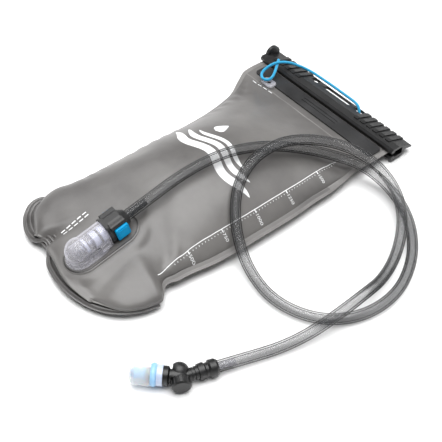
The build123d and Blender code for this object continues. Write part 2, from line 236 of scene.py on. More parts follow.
def smooth_line(name, control):
    """Points along the NURBS spline that has these control points, in metres."""
    curve = bpy.data.curves.new(name, "CURVE")
    curve.dimensions = "3D"
    curve.resolution_u = 14
    spline = curve.splines.new("NURBS")
    spline.points.add(len(control) - 1)
    for point, place in zip(spline.points, control):
        point.co = (*place, 1.0)
    spline.order_u = 3
    spline.use_endpoint_u = True
    holder = bpy.data.objects.new(name, curve)
    bpy.context.scene.collection.objects.link(holder)
    bpy.context.view_layer.update()
    mesh = bpy.data.meshes.new_from_object(holder)
    line = np.array([tuple(v.co) for v in mesh.vertices])
    bpy.data.objects.remove(holder)
    bpy.data.meshes.remove(mesh)
    length = np.linalg.norm(np.diff(line, axis=0), axis=1).sum()
    print(name, len(line), "points,", round(length, 4), "m long")
    return line


hose_line = smooth_line("hose_line", HOSE_LINE)
lanyard_line = smooth_line("lanyard_line", LANYARD_LINE)

# %% [markdown]
# A tube is a sheet rolled round its line. A frame is carried along the line without twist, so the wall
# doesn't wring. The sheet's own UV map keeps metres along the cord and turns around it, for a braid.


# %% Rolling a tube round a line
def carried_frames(line):
    """Two directions across the line at each of its points, carried along without twist."""
    ahead = np.gradient(line, axis=0)
    ahead /= np.linalg.norm(ahead, axis=1)[:, None]
    side = np.cross(ahead[0], (0.0, 0.0, 1.0))
    side /= np.linalg.norm(side)
    sides = []
    for direction in ahead:
        side = side - direction * side.dot(direction)
        side /= np.linalg.norm(side)
        sides.append(side)
    sides = np.array(sides)
    return sides, np.cross(ahead, sides)


def tube_along(name, line, radius, around):
    """Open tube of that radius in millimetres, with its length and turn in a UV map."""
    sides, tops = carried_frames(line)
    walked = np.concatenate([[0], np.cumsum(np.linalg.norm(np.diff(line, axis=0), axis=1))])

    def place(s, t):
        angle = math.pi * s
        row = np.clip(np.rint((t + 1) / 2 * (len(line) - 1)).astype(int), 0, len(line) - 1)
        across = np.cos(angle)[:, None] * sides[row] + np.sin(angle)[:, None] * tops[row]
        return tuple((line[row] / MM + radius * across).T)

    piece = sheet_of(name, around, len(line) - 1, place)
    deselect()
    layer = piece.data.uv_layers[0]
    layer.name = "along"
    for loop in layer.data:
        row = round(loop.uv[1] * (len(line) - 1))
        loop.uv = (loop.uv[0], walked[row])
    face_out(piece)
    return piece


hose = tube_along("hose_tube", hose_line, 4.75, 40)
apply(hose, "SOLIDIFY", thickness=1.55 * MM, offset=-1.0)
smooth(hose, 50)
report(hose)
lanyard = tube_along("lanyard_cord", lanyard_line, 1.4, 16)
smooth(lanyard, 60)
report(lanyard)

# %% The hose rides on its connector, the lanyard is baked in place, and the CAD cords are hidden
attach(hose, "hose_connector")
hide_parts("hose")
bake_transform(lanyard)
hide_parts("lanyard")

# %% [markdown]
# ## The filled film
# Water rounds the front film into a pillow that is highest a third of the way up. Its section across is
# boxy near the foot, where a pleat squares the corners, and flatter towards the band. A table of stations
# gives the half widths either side of the middle, the height and how boxy the section is; a smooth curve
# joins them. Then come the creases: long soft valleys, puckers beside the weld, and fine crumple.

# %% The film's height as a function of place
SEAM = 9.6              # top of the weld flange, mm above the ground
BAG_X = 8.0
FOOT_Y = -161.0
TOP_Y = 150.0
BAG = np.array([
    # y, left half width, right half width, top, squareness of the section
    (-161.0, 35.0, 54.0, 14.6, 0.40),
    (-152.0, 52.0, 73.0, 18.2, 0.40),
    (-140.0, 63.0, 83.0, 21.2, 0.42),
    (-128.0, 68.5, 87.0, 24.0, 0.44),
    (-118.0, 69.0, 87.5, 26.0, 0.44),
    (-109.0, 67.0, 74.0, 28.0, 0.50),
    (-95.0, 66.0, 73.0, 31.4, 0.60),
    (-60.0, 66.0, 77.6, 41.5, 0.78),
    (-10.0, 66.0, 78.8, 44.2, 0.80),
    (30.0, 66.0, 78.4, 39.8, 0.80),
    (50.0, 67.5, 77.0, 34.5, 0.78),
    (70.0, 71.0, 77.0, 28.0, 0.74),
    (90.0, 77.0, 76.0, 20.0, 0.70),
    (104.0, 84.0, 74.0, 14.6, 0.70),
    (119.0, 92.5, 74.5, 10.4, 0.70),
    (126.0, 93.5, 74.5, 9.7, 0.70),
    (150.0, 93.5, 74.5, 9.7, 0.70),
])
PORT_X, PORT_Y, PORT_Z = 27.0, -150.0, 29.0
TILT = math.radians(12.0)
PATCH_BELOW = 9.4       # port axis above the patch
PUCKER_EVERY = 13.0     # spacing of the puckers along the weld
PUCKER_LEFT, PUCKER_RIGHT = 0.5, 0.12   # height of the puckers; the printed side is drawn tighter
PATCH_Y = (-16.0, 55.0) # ends of the oval patch along the port axis
PATCH_HALF = 17.0


def station(y, column):
    """Smooth curve through one column of the stations."""
    ys, values = BAG[:, 0], BAG[:, column]
    slopes = np.gradient(values, ys)
    i = np.clip(np.searchsorted(ys, y) - 1, 0, len(ys) - 2)
    step = ys[i + 1] - ys[i]
    t = np.clip((y - ys[i]) / step, 0, 1)
    start = (2 * t**3 - 3 * t**2 + 1) * values[i] + (t**3 - 2 * t**2 + t) * step * slopes[i]
    return start + (3 * t**2 - 2 * t**3) * values[i + 1] + (t**3 - t**2) * step * slopes[i + 1]


def ease(value, start, stop):
    """0 before start, 1 after stop, smooth between."""
    t = np.clip((value - start) / (stop - start), 0, 1)
    return t * t * (3 - 2 * t)


def crumple(x, y, size, seed):
    """Smooth noise from -1 to 1 whose bumps are about size millimetres across."""
    out = [noise.noise(Vector((a / size, b / size, seed))) for a, b in zip(np.ravel(x), np.ravel(y))]
    return np.array(out).reshape(np.shape(x))


# Each crease: its ends, half width and depth (below zero is a valley), all in millimetres.
CREASES = [
    (62.0, -96.0, 20.0, -60.0, 9.0, -2.2),
    (78.0, -104.0, 58.0, -84.0, 5.0, -2.4),
    (80.0, -84.0, 60.0, -74.0, 4.0, -1.5),
    (-13.0, -160.0, -6.0, -128.0, 5.5, -4.5),
    (-24.0, -160.0, -40.0, -136.0, 7.0, 1.8),
    (60.0, -150.0, 50.0, -118.0, 8.0, -1.6),
    (-74.0, 104.0, -48.0, 84.0, 4.5, -2.6),
    (-66.0, 116.0, -30.0, 90.0, 4.0, -1.3),
    (-80.0, 118.0, -58.0, 98.0, 3.5, 1.5),
    (80.0, 106.0, 56.0, 84.0, 4.5, -2.0),
    (82.0, 92.0, 62.0, 78.0, 3.0, -1.2),
    (70.0, 118.0, 40.0, 92.0, 5.0, -1.0),
    (0.0, 118.0, 6.0, 84.0, 7.0, -0.9),
    (-34.0, 118.0, -26.0, 90.0, 5.0, -0.8),
    (-60.0, -70.0, -30.0, -30.0, 9.0, -1.0),
]


def crease_at(x, y):
    total = np.zeros_like(x)
    for x0, y0, x1, y1, wide, deep in CREASES:
        run = np.array((x1 - x0, y1 - y0))
        t = ((x - x0) * run[0] + (y - y0) * run[1]) / run.dot(run)
        on = np.clip(t, 0, 1)
        gap = np.hypot(x - x0 - on * run[0], y - y0 - on * run[1])
        fade = 1 - 0.75 * on
        total += deep * fade * np.exp(-(gap / wide) ** 2)
    return total


def patch_plane(y):
    """Height of the flat plane that the port's patch holds the film in."""
    foot = PORT_Z - PATCH_BELOW * math.cos(TILT)
    return foot + (y - PORT_Y - PATCH_BELOW * math.sin(TILT)) * math.tan(TILT)


def beside_patch(x, y):
    """Distance outside the oval patch, in millimetres."""
    along = np.clip((y - PORT_Y - PATCH_BELOW * math.sin(TILT)) / math.cos(TILT),
                    PATCH_Y[0] + PATCH_HALF, PATCH_Y[1] - PATCH_HALF)
    middle = PORT_Y + PATCH_BELOW * math.sin(TILT) + along * math.cos(TILT)
    return np.hypot(x - PORT_X, y - middle) - PATCH_HALF


def film_height(x, y):
    """Height of the front film's outer face."""
    x, y = np.asarray(x, float), np.asarray(y, float)
    off = x - BAG_X
    half = np.where(off < 0, station(y, 1), station(y, 2))
    u = np.clip(np.abs(off) / half, 0, 1)
    rise = station(y, 3) - SEAM
    section = (1 - u * u) ** station(y, 4)
    z = SEAM + rise * section
    filled = ease(-y, -124, -96)
    inside = ease(1 - u, 0.0, 0.14)
    z += crease_at(x, y) * inside * (0.35 + 0.65 * filled)
    beside_weld = np.exp(-((u - 0.9) / 0.07) ** 2) * filled * ease(y, -110, -90)
    wave = 2 * math.pi * y / PUCKER_EVERY + 2.2 * crumple(x, y, 45.0, 3.0)
    z += np.where(off < 0, PUCKER_LEFT, PUCKER_RIGHT) * beside_weld * np.sin(wave)
    soft = 0.9 * crumple(x, y, 52.0, 1.0) * filled + 0.25 * crumple(x, y, 15.0, 2.0)
    z += inside * soft * (1 - ease(y, 112, 124))
    z = np.maximum(z, SEAM)
    flat = 1 - ease(beside_patch(x, y), 0.0, 11.0)
    return z * (1 - flat) + patch_plane(y) * flat


print("film at the middle", film_height(BAG_X, -10.0).round(1), "mm high")

# %% [markdown]
# The front film is one sheet: a rolled wall at the foot, the pillow, and the flat band that goes into the
# closer. Points crowd towards the weld, where the film turns sharply. The last few rows outside the
# weld are the flange, and take the paler finish of film welded to film.

# %% Front film
WALL = 0.07             # share of the rows in the wall at the foot
SEAM_AT = 0.93          # share of the columns inside the weld
FLANGE_WIDE = 4.5
FOOT_BULGE = 6.5        # how much further the pillow's foot hangs out in its middle
BULGE_X, BULGE_WIDE = 36, 26
WALL_OUT = 2.6          # how far the rolled wall stands out at half its height
PLEAT_X, PLEAT_WIDE = -13, 7
PLEAT_DEEP = 5.0        # how far the pleat draws the foot in


def across_bag(s, y):
    """x for a place across the sheet: the pillow, then the flange outside the weld."""
    wide = 0.5 + (FLANGE_WIDE - 0.5) * ease(y, -118, -108)
    wide = np.where(s < 0, 0.5 + (wide - 0.5) * (0.25 + 0.75 * ease(y, 80, 105)),
                    wide + 2.6 * ease(y, -112, -96) * (1 - ease(y, 60, 100)))
    half = np.where(s < 0, station(y, 1), station(y, 2))
    u = np.sin(math.pi / 2 * np.clip(np.abs(s) / SEAM_AT, 0, 1))
    flange = wide * np.clip((np.abs(s) - SEAM_AT) / (1 - SEAM_AT), 0, 1)
    return BAG_X + np.sign(s) * (half * u + flange)


def front_place(s, t):
    share = (t + 1) / 2
    down = np.clip(1 - share / WALL, 0, 1)
    y = FOOT_Y + (TOP_Y - FOOT_Y) * np.clip((share - WALL) / (1 - WALL), 0, 1)
    x = across_bag(s, y)
    y = y - FOOT_BULGE * np.exp(-((x - BULGE_X) / BULGE_WIDE) ** 2) * ease(-y, 118, 161)
    z = film_height(x, y)
    z = SEAM + (z - SEAM) * np.cos(math.pi / 2 * down) ** 0.75
    pleat = np.exp(-((x - PLEAT_X) / PLEAT_WIDE) ** 2)
    full = np.sqrt(np.clip(1 - np.abs(s) ** 6, 0, 1))
    y = y - (WALL_OUT * full * np.sin(math.pi * down) - 0.5 * down) * (1 - 0.8 * pleat)
    y = y + PLEAT_DEEP * pleat * ease(-y, 138, 158)
    return x, y, z


front = sheet_of("front_film_sheet", 130, 250, front_place)
apply(front, "SOLIDIFY", thickness=0.35 * MM, offset=-1.0)
smooth(front, 70)
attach(front, "bladder")
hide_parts("front_film", "front_band")
report(front)

# %% [markdown]
# The back film is flat on the ground and turns up to the weld all round. It closes the bag from below, so
# it is the same sheet laid out again, with a height that depends on how far a point is from the weld.

# %% Back film
GROUND = 0.1
FOOT_SLOPE = 16.0       # how far in from the weld the back film reaches the ground


def back_place(s, t):
    y = FOOT_Y - 1.0 + (TOP_Y - FOOT_Y + 1.0) * (t + 1) / 2
    x = across_bag(s, y)
    half = np.where(s < 0, station(y, 1), station(y, 2))
    in_from_weld = np.minimum(half - np.abs(x - BAG_X), (y - FOOT_Y) * 1.2)
    lifted = 1 - ease(in_from_weld, 0.0, FOOT_SLOPE) * (1 - ease(y, 84, 122))
    z = GROUND + (SEAM - 0.5 - GROUND) * lifted
    z += 0.5 * (1 + crumple(x, y, 30.0, 5.0)) * lifted * (1 - lifted) * 4
    return x, y, z


back = sheet_of("back_film_sheet", 110, 150, back_place)
apply(back, "SOLIDIFY", thickness=0.35 * MM, offset=1.0)
smooth(back, 70)
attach(back, "bladder")
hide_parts("back_film", "back_band")
report(back)

# %% [markdown]
# The foot is closed by a weld 12 mm wide with three raised ribs. It follows the rounded foot, folds up at
# the pleat left of the middle, and stops short of the sides in two square ends. It is a strip whose two
# edges run along smooth curves, with the ribs as height across it.

# %% Ribbed weld round the foot
RIM_OUTSIDE = [
    (-60.5, -128.0), (-64.4, -136.0), (-63.6, -145.2), (-57.0, -154.6), (-44.6, -162.4), (-31.4, -165.8),
    (-21.5, -164.2), (-15.5, -160.6), (-11.0, -159.8), (-5.0, -163.4), (3.0, -168.8), (18.0, -172.4),
    (44.0, -172.3), (67.0, -164.6), (85.0, -151.2), (94.2, -135.0), (97.0, -122.0),
]
RIM_WIDE = 12.5
RIBS_AT = (0.2, 0.5, 0.8)
RIB_HALF = 0.062
RIB_HIGH = 1.35
FOLD_X = -13.5          # the middle of the pleat's fold


def through(points, share):
    """Points on a smooth curve through the given ones, at shares from 0 to 1 of its length."""
    points = np.array(points, float)
    walked = np.concatenate([[0], np.cumsum(np.linalg.norm(np.diff(points, axis=0), axis=1))])
    slopes = np.gradient(points, walked, axis=0)
    d = np.clip(share, 0, 1) * walked[-1]
    i = np.clip(np.searchsorted(walked, d) - 1, 0, len(points) - 2)
    step = (walked[i + 1] - walked[i])[:, None]
    u = ((d - walked[i]) / step[:, 0])[:, None]
    start = (2 * u**3 - 3 * u**2 + 1) * points[i] + (u**3 - 2 * u**2 + u) * step * slopes[i]
    return start + (3 * u**2 - 2 * u**3) * points[i + 1] + (u**3 - u**2) * step * slopes[i + 1]


def to_its_left(points, share):
    """Unit direction to the left of the way along that curve, in the plane."""
    step = 0.01
    ahead = through(points, np.minimum(share + step, 1)) - through(points, np.maximum(share - step, 0))
    ahead /= np.linalg.norm(ahead, axis=1)[:, None]
    return np.stack((-ahead[:, 1], ahead[:, 0]), axis=1)


def rim_place(s, t):
    share = (t + 1) / 2
    outside = through(RIM_OUTSIDE, share)
    inward = to_its_left(RIM_OUTSIDE, share)
    w = (s + 1) / 2
    place = outside + inward * (RIM_WIDE * w)[:, None]
    fold = np.exp(-((outside[:, 0] - FOLD_X) / 6.5) ** 2)
    rest = 5.2 + 3.0 * w + 0.7 * np.sin(share * 23.0) * (1 - w)
    ribs = sum(np.exp(-((w - at) / RIB_HALF) ** 2) for at in RIBS_AT)
    z = rest + RIB_HIGH * ribs + 4.6 * fold * (1 - 0.4 * w)
    left_end = 1 - ease(share, 0.0, 0.14)
    z += 1.8 * left_end
    return place[:, 0], place[:, 1], z


rim = sheet_of("ribbed_foot_weld", 48, 300, rim_place)
apply(rim, "SOLIDIFY", thickness=1.3 * MM, offset=-1.0)
smooth(rim, 50)
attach(rim, "bladder")
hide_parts("bottom_weld_rim")
report(rim)

# %% [markdown]
# The port stands on an oval patch of thicker film, welded on along its edge. The weld shows as a fine
# raised line just inside the outline. The patch is a sheet whose width closes to nothing at both ends.

# %% Port patch
PATCH_UP = 0.9          # patch above the film


def patch_place(s, t):
    half_long = (PATCH_Y[1] - PATCH_Y[0]) / 2
    middle = (PATCH_Y[1] + PATCH_Y[0]) / 2
    along = half_long * np.sin(math.pi / 2 * t)
    past = np.clip(np.abs(along) - (half_long - PATCH_HALF), 0, PATCH_HALF)
    wide = np.sqrt(np.maximum(PATCH_HALF**2 - past**2, 0))
    x = PORT_X + wide * s
    local = middle + along
    y = PORT_Y + PATCH_BELOW * math.sin(TILT) + local * math.cos(TILT)
    from_edge = PATCH_HALF - np.hypot(wide * s, past)
    bead = np.exp(-((from_edge - 1.6) / 0.55) ** 2)
    lift = PATCH_UP * ease(from_edge, -0.2, 0.5) + 0.4 * bead
    return x, y, patch_plane(y) - 0.1 + lift


patch = sheet_of("port_patch_sheet", 60, 130, patch_place)
face_out(patch)
smooth(patch, 60)
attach(patch, "bladder")
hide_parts("port_patch")
report(patch)

# %% [markdown]
# ## The button's spring
# The spring behind the release button is pressed flat by the button's travel. A copy of the solid shape,
# with its doubled corners merged and smooth shading, rides on the connector.

# %% Button spring
solid_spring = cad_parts["button_spring"]
spring = bpy.data.objects.new("button_spring_coil", solid_spring.data.copy())
spring.data.transform(solid_spring.matrix_world)
bpy.context.scene.collection.objects.link(spring)
deselect()
spring.select_set(True)
bpy.context.view_layer.objects.active = spring
bpy.ops.object.mode_set(mode="EDIT")
bpy.ops.mesh.select_all(action="SELECT")
bpy.ops.mesh.remove_doubles(threshold=0.000001)
bpy.ops.object.mode_set(mode="OBJECT")
smooth(spring, 50)
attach(spring, "hose_connector")
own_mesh(spring)
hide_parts("button_spring")
report(spring)

# %% [markdown]
# ## Printed marks
# White ink on the film: a filling scale with long ticks, fine ticks and plain numbers, a drawing of waves
# under a drop, and a few dashes beside the port where a maker prints care notes. Each mark is a strip that
# follows a line on the film and lies a hair above it, so that it bends with every crease.

# %% Strips of ink
INK_UP = 0.16
marks = []


def even(share):
    """The same width all along a strip."""
    return 1.0 + 0.0 * share


def ink_strip(points, wide, shape=even):
    """Strip of ink along a smooth line of (x, y) points, its width shaped along it, in millimetres."""
    length = np.linalg.norm(np.diff(np.array(points, float), axis=0), axis=1).sum()

    def place(s, t):
        share = (t + 1) / 2
        spot = through(points, share) - to_its_left(points, share) * (s * wide * shape(share) / 2)[:, None]
        return spot[:, 0], spot[:, 1], film_height(spot[:, 0], spot[:, 1]) + INK_UP

    piece = sheet_of("ink", max(1, round(wide / 1.3)), max(2, round(length / 1.5)), place)
    marks.append(piece)
    return piece


def dash(start, run, wide):
    """Short straight strip of ink from a point, run millimetres in x and y."""
    ink_strip([(start[0] + run[0] * part, start[1] + run[1] * part) for part in (0.0, 0.5, 1.0)], wide)


SCALE_LINE = [
    (77.5, -109.5), (75.4, -98.0), (74.2, -84.0), (74.0, -68.0), (74.4, -50.0), (74.8, -9.2), (73.6, 26.8),
    (71.0, 67.1), (68.6, 95.1),
]
ink_strip(SCALE_LINE, 0.6)
TICKS = [(-77.0, 500), (-42.0, 750), (-6.5, 1000), (30.0, 1250), (68.5, 1500)]
scale = np.array(SCALE_LINE)
for tick_y, number in TICKS:
    tick_x = np.interp(tick_y, scale[:, 1], scale[:, 0])
    dash((tick_x, tick_y), (2.6, 0.0), 0.9)
for k in range(58):
    dot_y = -92.0 + k * 3.2
    dash((np.interp(dot_y, scale[:, 1], scale[:, 0]) + 1.5, dot_y), (0.8, 0.0), 0.55)
print(len(marks), "strips of ink in the scale")

# %% Waves, a drop and the dashes


def tapered(share):
    """Full in the middle and pointed at both ends."""
    return np.clip(6 * np.minimum(share, 1 - share), 0, 1) ** 0.6


def drop(share):
    """Round at the start and pointed at the end."""
    blunt = np.sqrt(np.clip(1 - ((0.34 - share) / 0.34) ** 2, 0, 1))
    return np.where(share < 0.34, blunt, np.clip((1 - share) / 0.66, 0, 1) ** 0.8)


WAVES = [
    # middle line's y, first x, last x, thickness
    (-8.0, -38.0, 66.0, 8.0),
    (2.5, -30.0, 56.0, 6.0),
    (11.0, -20.0, 44.0, 4.2),
]
for wave_y, first, last, thick in WAVES:
    run = np.linspace(first, last, 26)
    ink_strip([(x, wave_y + 3.6 * math.sin(x / 8.2)) for x in run], thick, tapered)
ink_strip([(-8.0, 17.5), (-8.0, 24.0), (-8.0, 33.0)], 12.0, drop)
for k in range(4):
    ink_strip([(-71.0 + k * 7.4, 115.4 + k * 0.4), (-68.6 + k * 7.4, 115.5 + k * 0.4),
               (-66.2 + k * 7.4, 115.7 + k * 0.4)], 0.9)
for row_x in (-9.2, -5.6):
    for k in range(5):
        ink_strip([(row_x, -145.5 + k * 5.4), (row_x, -143.6 + k * 5.4), (row_x, -141.6 + k * 5.4)], 1.2)
print(len(marks), "strips of ink with the drawing and the dashes")

# %% Numbers on the scale
DIGIT_SIZE = 4.0
DIGIT_GAP = 3.0         # from the scale's line to the first digit
DIGIT_DROP = 1.4        # half a digit's height, so that it is level with its tick
for tick_y, number in TICKS:
    tick_x = np.interp(tick_y, scale[:, 1], scale[:, 0])
    bpy.ops.object.text_add()
    text = bpy.context.object
    text.data.body = str(number)
    text.data.size = DIGIT_SIZE * MM
    deselect()
    text.select_set(True)
    bpy.context.view_layer.objects.active = text
    bpy.ops.object.convert(target="MESH")
    digit = bpy.context.object
    flat = points_of(digit)
    flat[:, 0] += tick_x + DIGIT_GAP
    flat[:, 1] += tick_y - DIGIT_DROP
    flat[:, 2] = film_height(flat[:, 0], flat[:, 1]) + INK_UP + 0.15
    put_points(digit, flat)
    marks.append(digit)
print("numbers", [number for _, number in TICKS])

# %% One piece of ink
deselect()
for mark in marks:
    mark.select_set(True)
ink = marks[0]
bpy.context.view_layer.objects.active = ink
bpy.ops.object.join()
ink.name = "printed_marks"
ink.data.name = "printed_marks"
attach(ink, "bladder")
report(ink)

# %% [markdown]
# ## Finishes
# One function turns a hex colour into Blender's linear numbers, and one adds a node with its settings and
# links. Every finish starts from what the real material is and how its surface was made.

# %% Helpers for finishes


def linear(code):
    """sRGB hex to linear red, green, blue and alpha."""
    parts = [int(code[i:i + 2], 16) / 255 for i in (1, 3, 5)]
    return (*[c / 12.92 if c <= 0.04045 else ((c + 0.055) / 1.055) ** 2.4 for c in parts], 1.0)


def finish(name, **sockets):
    """New material, its node tree and its shader, with plain values set on the shader's sockets."""
    material = bpy.data.materials.new(name)
    material.use_nodes = True
    shader = material.node_tree.nodes["Principled BSDF"]
    for socket, value in sockets.items():
        shader.inputs[socket.replace("_", " ")].default_value = value
    return material, material.node_tree, shader


def add(tree, kind, inputs, **settings):
    """One node, with its settings, and its inputs set or linked."""
    node = tree.nodes.new(kind)
    for setting, value in settings.items():
        setattr(node, setting, value)
    for socket, value in inputs.items():
        if isinstance(value, bpy.types.NodeSocket):
            tree.links.new(value, node.inputs[socket])
        else:
            node.inputs[socket].default_value = value
    return node


def mottle(tree, shader, dark, light, size, rough, grain, depth_and_painted_edge_shade):
    """Two colours in soft blotches of size mm, roughness between two values, and bumps grain mm wide."""
    place = add(tree, "ShaderNodeTexCoord", {})
    blotch = add(tree, "ShaderNodeTexNoise", {"Vector": place.outputs["Object"], "Scale": 1000 / size,
                                              "Detail": 4.0, "Roughness": 0.55})
    ramp = add(tree, "ShaderNodeValToRGB", {"Fac": blotch.outputs["Fac"]})
    ramp.color_ramp.elements[0].position = 0.32
    ramp.color_ramp.elements[0].color = linear(dark)
    ramp.color_ramp.elements[1].position = 0.68
    ramp.color_ramp.elements[1].color = linear(light)
    tree.links.new(ramp.outputs["Color"], shader.inputs["Base Color"])
    span = add(tree, "ShaderNodeMapRange", {"Value": blotch.outputs["Fac"],
                                            "To Min": rough[0], "To Max": rough[1]})
    tree.links.new(span.outputs["Result"], shader.inputs["Roughness"])
    if not depth_and_painted_edge_shade:
        return
    fine = add(tree, "ShaderNodeTexNoise", {"Vector": place.outputs["Object"], "Scale": 1000 / grain,
                                            "Detail": 3.0})
    bump = add(tree, "ShaderNodeBump", {"Height": fine.outputs["Fac"], "Strength": 0.35,
                                        "Distance": depth_and_painted_edge_shade * MM})
    tree.links.new(bump.outputs["Normal"], shader.inputs["Normal"])


def surface(name, dark, light, size, rough, grain, depth_and_painted_edge_shade, **sockets):
    """A finished material from its two colours, blotch size, roughness, grain and shader sockets."""
    material, tree, shader = finish(name, **sockets)
    mottle(tree, shader, dark, light, size, rough, grain, depth_and_painted_edge_shade)
    return material


# %% [markdown]
# ### Polyurethane film
# The bag is calendered film, rolled between warm steel rollers, so it has a satin face with a soft long
# highlight, cloudy grey colour and tiny crumples. A welding tool melts two films together and polishes
# them. Each finish is one noise for cloud and roughness and a finer one for the bump; an image of film would
# repeat and would hold its own light, so everything is worked out from noise in millimetres.

# %% Film finishes
# Plain film: satin from the rollers, cloudy over 60 mm, crumpled over 5 mm.
film = surface("smoke_polyurethane_film", "#565453", "#6E6C6A", 60.0, (0.36, 0.48), 5.0, 0.25,
               IOR=1.5, Coat_Weight=0.18, Coat_Roughness=0.22)
# Flat weld at the edge: pressed smooth by the tool, so paler and shinier.
weld = surface("welded_polyurethane", "#706E6D", "#858381", 24.0, (0.26, 0.4), 3.0, 0.2,
               IOR=1.5, Coat_Weight=0.35, Coat_Roughness=0.15)
# Ribbed weld at the foot: twice as thick, so darker, with a gleam along each rib.
rib_film = surface("ribbed_weld", "#454342", "#5D5B5A", 20.0, (0.3, 0.42), 3.0, 0.2,
                   IOR=1.5, Coat_Weight=0.3, Coat_Roughness=0.18)
# Patch under the port: a second layer of film, laid flat, so more even than the bag.
patch_film = surface("patch_film", "#5F5D5C", "#706E6C", 30.0, (0.32, 0.42), 4.0, 0.2,
                     IOR=1.5, Coat_Weight=0.25, Coat_Roughness=0.2)
# The line that the tool presses round the patch: squeezed film, which reads as a dark thread.
pressed = surface("pressed_weld_line", "#2A2929", "#363534", 12.0, (0.34, 0.44), 3.0, 0.1,
                  IOR=1.5, Coat_Weight=0.3, Coat_Roughness=0.2)
# Screen-printed ink: chalky and slightly uneven, from the mesh it was pushed through.
ink_white = surface("screen_printed_ink", "#E4E5E6", "#F4F5F5", 6.0, (0.42, 0.55), 1.2, 0.08, IOR=1.45)
print([made.name for made in (film, weld, rib_film, patch_film, pressed, ink_white)])

# %% [markdown]
# ### Moulded plastics and rubbers
# These parts are injection moulded, so they take the texture of their steel mould. Most moulds are spark
# eroded, which leaves a fine even grain and breaks a highlight up; the grain is drawn a little coarser
# than the real 0.1 mm, so that it shows.

# %% Plastic and rubber finishes
# Glass-filled nylon: near black, with the grain of a spark-eroded mould and a dull gleam on its edges.
black = surface("black_moulded_nylon", "#0A0A0B", "#131314", 9.0, (0.36, 0.5), 0.7, 0.12,
                IOR=1.53, Coat_Weight=0.08, Coat_Roughness=0.3)
# Extruded stiffener strip: smooth from its die, dark smoke, with a clearer highlight than the film.
stiff = surface("smoked_stiffener", "#262627", "#333334", 26.0, (0.26, 0.36), 2.5, 0.1,
                IOR=1.5, Coat_Weight=0.4, Coat_Roughness=0.12)
# Acetal: waxy and evenly coloured, moulded in a fine-grained mould.
blue = surface("blue_acetal", "#009AD2", "#00A4DE", 8.0, (0.28, 0.38), 0.9, 0.06,
               IOR=1.35, Coat_Weight=0.04, Coat_Roughness=0.15)
pale = surface("pale_blue_acetal", "#B9C6E0", "#CAD4E8", 8.0, (0.24, 0.34), 0.9, 0.06,
               IOR=1.48, Coat_Weight=0.3, Coat_Roughness=0.12)
white = surface("white_acetal", "#C9CDE8", "#D9DCF0", 8.0, (0.24, 0.34), 0.9, 0.06,
                IOR=1.48, Coat_Weight=0.3, Coat_Roughness=0.12)
# Nitrile rubber, pressed and tumbled: black and dusty, with almost no highlight.
rubber = surface("black_nitrile_rubber", "#141415", "#1E1E1F", 6.0, (0.5, 0.65), 0.8, 0.1, IOR=1.52)
# Silicone, cast in soft colours: skin-like, with a broad blurred highlight.
ring_blue = surface("pale_blue_silicone", "#8CC0EA", "#A6D0F2", 10.0, (0.25, 0.36), 2.0, 0.06, IOR=1.41)
core_blue = surface("blue_silicone", "#3FB2E8", "#62C4F2", 10.0, (0.25, 0.36), 2.0, 0.06, IOR=1.41)
# Spring steel, drawn through a die: fine bright lines that look dark inside the clear port.
steel = surface("spring_steel_wire", "#5C5F66", "#7C7F86", 3.0, (0.22, 0.34), 0.4, 0.02, Metallic=1.0)
print([made.name for made in (black, stiff, blue, pale, white, rubber, ring_blue, core_blue, steel)])

# %% [markdown]
# ### Clear and frosted parts
# Water-clear plastic could be made of real refraction. The walls here are thin and lie in several layers,
# and what the eye reads is how much more solid a wall looks where it is seen along its length. The hose's
# near-black edges are painted shade besides, painted into its colour where the wall turns from the eye.

# %% Clear finishes


def by_facing(tree, kind, socket, **inputs):
    """One node that follows how much a wall is turned away from the eye."""
    facing = add(tree, "ShaderNodeLayerWeight", {"Blend": 0.5})
    return add(tree, kind, {socket: facing.outputs["Facing"], **inputs})


def see_through(material, face_on, edge_on, start=0.3, stop=1.0):
    """How solid a clear wall looks, met squarely and along its edge."""
    tree = material.node_tree
    span = by_facing(tree, "ShaderNodeMapRange", "Value", **{
        "From Min": start, "From Max": stop, "To Min": face_on, "To Max": edge_on})
    tree.links.new(span.outputs["Result"], tree.nodes["Principled BSDF"].inputs["Alpha"])


# Polycarbonate port: glossy from a polished mould, milky where its walls are thick.
clear = surface("clear_polycarbonate", "#D2D1DC", "#E4E3EA", 12.0, (0.08, 0.16), 3.0, 0,
                IOR=1.5, Coat_Weight=0.6, Coat_Roughness=0.05)
see_through(clear, 0.22, 0.85)
# Mouthpiece: silicone with a frosted skin, through which its blue core shows.
silicone = surface("frosted_silicone", "#F1F4F8", "#FAFBFD", 10.0, (0.24, 0.34), 2.0, 0,
                   IOR=1.4, Subsurface_Weight=0.2, Subsurface_Scale=0.002)
see_through(silicone, 0.3, 0.75)
# Extruded hose: glassy and light in the middle, and painted nearly black along both edges: painted shade
# that stands in for the dark surroundings its walls would mirror.
tpu, tree, shader = finish("clear_hose_polyurethane", IOR=1.2, Roughness=0.05, Coat_Weight=0.2,
                           Coat_Roughness=0.03)
# Painted shade: the base colour runs from grey, met face on, to near black where the wall turns from the
# eye.
depth_and_painted_edge_shade = by_facing(tree, "ShaderNodeValToRGB", "Fac")
for stop, position, code in ((0, 0.3, "#5C5D5F"), (1, 0.55, "#050506")):
    depth_and_painted_edge_shade.color_ramp.elements[stop].position = position
    depth_and_painted_edge_shade.color_ramp.elements[stop].color = linear(code)
tree.links.new(depth_and_painted_edge_shade.outputs["Color"], shader.inputs["Base Color"])
see_through(tpu, 0.2, 0.97, 0.32, 0.72)
print([made.name for made in (clear, silicone, tpu)])
